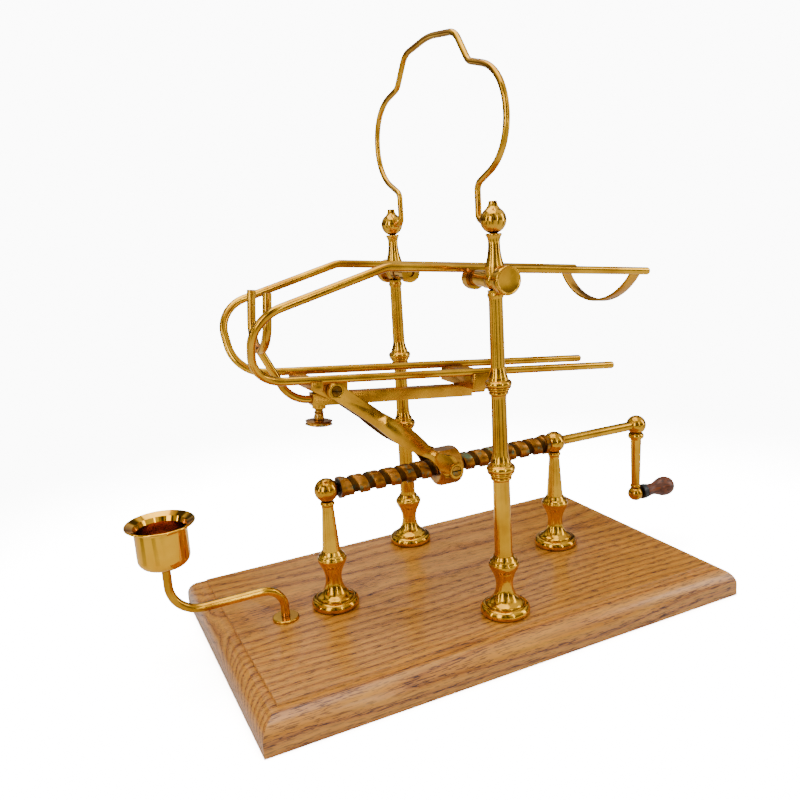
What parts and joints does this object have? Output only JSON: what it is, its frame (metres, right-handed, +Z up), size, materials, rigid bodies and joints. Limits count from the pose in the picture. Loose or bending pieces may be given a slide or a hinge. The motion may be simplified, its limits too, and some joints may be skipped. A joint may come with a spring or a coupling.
{
  "type": "mechanical wine decanting cradle",
  "caption": "Brass bottle cradle on an oak board that tips slowly by crank, lead screw, nut and links to decant wine, with a wire handle and a swivelling candle cup.",
  "frame": {"origin": "middle of the oak board's underside", "axes": "+X along the board from the candle towards the crank, +Y across it to the far side, +Z up"},
  "size_m": [0.3605, 0.1708, 0.3245],
  "materials": {
    "polished_brass": "polished, slightly aged",
    "aged_bronze": "dark tarnished bronze with traces of green",
    "oak": "satin-varnished open-grained oak",
    "turned_wood": "turned and varnished red-brown hardwood",
    "black_ferrule": "black lacquered",
    "steel_fixings": "plain zinc-plated steel"
  },
  "bodies": {
    "stand": {"base_board": "oak", "foot_screws": "steel_fixings", "foot_washers": "steel_fixings", "trunnion_screws": "polished_brass", "trunnion_spacers": "polished_brass", "candle_flange": "polished_brass", "post_foot_left": "polished_brass", "post_stem_left": "polished_brass", "bearing_ball_left": "polished_brass", "post_foot_right": "polished_brass", "post_stem_right": "polished_brass", "bearing_ball_right": "polished_brass", "pillar_foot_near": "polished_brass", "lower_shaft_near": "polished_brass", "middle_shaft_near": "polished_brass", "upper_shaft_near": "polished_brass", "trunnion_block_near": "polished_brass", "finial_near": "polished_brass", "pillar_foot_far": "polished_brass", "lower_shaft_far": "polished_brass", "middle_shaft_far": "polished_brass", "upper_shaft_far": "polished_brass", "trunnion_block_far": "polished_brass", "finial_far": "polished_brass"},
    "crank": {"lead_screw": "aged_bronze", "thrust_collar_left": "aged_bronze", "thrust_collar_right": "polished_brass", "crank_shaft": "polished_brass", "crank_ball": "polished_brass", "crank_arm": "polished_brass", "crank_knuckle": "polished_brass", "knob_spindle": "polished_brass"},
    "knob": {"knob_ferrule": "black_ferrule", "wooden_knob": "turned_wood"},
    "nut": {"travelling_nut": "aged_bronze"},
    "cradle": {"rail_near": "polished_brass", "rail_far": "polished_brass", "rear_strap": "polished_brass", "rear_saddle": "polished_brass", "pivot_block": "polished_brass", "slide_tube": "polished_brass", "trunnion_lug_near": "polished_brass", "trunnion_lug_far": "polished_brass", "upper_pivot_screws": "polished_brass"},
    "links": {"link_near": "polished_brass", "link_far": "polished_brass", "lower_pivot_screws": "polished_brass"},
    "neck_rest": {"slide_rod": "polished_brass", "neck_fork": "polished_brass"},
    "clamp_screw": {"thumbscrew": "aged_bronze"},
    "bail": {"bail_handle": "polished_brass"},
    "candle_holder": {"candle_arm": "polished_brass", "candle_arm_nut": "steel_fixings", "cup_collar": "polished_brass", "candle_cup": "polished_brass"}
  },
  "joints": [
    {"name": "crank_turn", "type": "hinge", "parent": "stand", "child": "crank", "pos_m": [0, 0, 0.0875], "axis": [-1, 0, 0], "range_deg": [-360, 1655]},
    {"name": "knob_spin", "type": "hinge", "parent": "crank", "child": "knob", "pos_m": [0.16, 0, 0.039], "axis": [1, 0, 0], "continuous": true},
    {"name": "nut_travel", "type": "slide", "parent": "stand", "child": "nut", "axis": [1, 0, 0], "range_m": [-0.0099, 0.0452]},
    {"name": "cradle_tip", "type": "hinge", "parent": "stand", "child": "cradle", "pos_m": [0, 0, 0.199], "axis": [0, -1, 0], "range_deg": [-5.45, 24.9]},
    {"name": "link_swing", "type": "hinge", "parent": "cradle", "child": "links", "pos_m": [-0.07044, 0, 0.14447], "axis": [0, -1, 0], "range_deg": [-5.15, 1.15]},
    {"name": "neck_rest_slide", "type": "slide", "parent": "cradle", "child": "neck_rest", "axis": [-0.9957, 0, 0.0924], "range_m": [0, 0.03]},
    {"name": "clamp_turn", "type": "hinge", "parent": "cradle", "child": "clamp_screw", "pos_m": [-0.07762, 0, 0.12987], "axis": [0.0924, 0, 0.9957], "range_deg": [-360, 0]},
    {"name": "bail_swing", "type": "hinge", "parent": "stand", "child": "bail", "pos_m": [0, 0, 0.2277], "axis": [0, 1, 0], "range_deg": [-75, 75]},
    {"name": "candle_swivel", "type": "hinge", "parent": "stand", "child": "candle_holder", "pos_m": [-0.1068, 0, 0.0185], "axis": [0, 0, 1], "range_deg": [-90, 90]}
  ],
  "couplings": [
    {"joint": "nut_travel", "follows": "crank_turn", "m_per_rad": 0.0015597},
    {"joint": "cradle_tip", "follows": "crank_turn", "ratio": 0.015},
    {"joint": "link_swing", "follows": "crank_turn", "ratio": -0.00307}
  ]
}
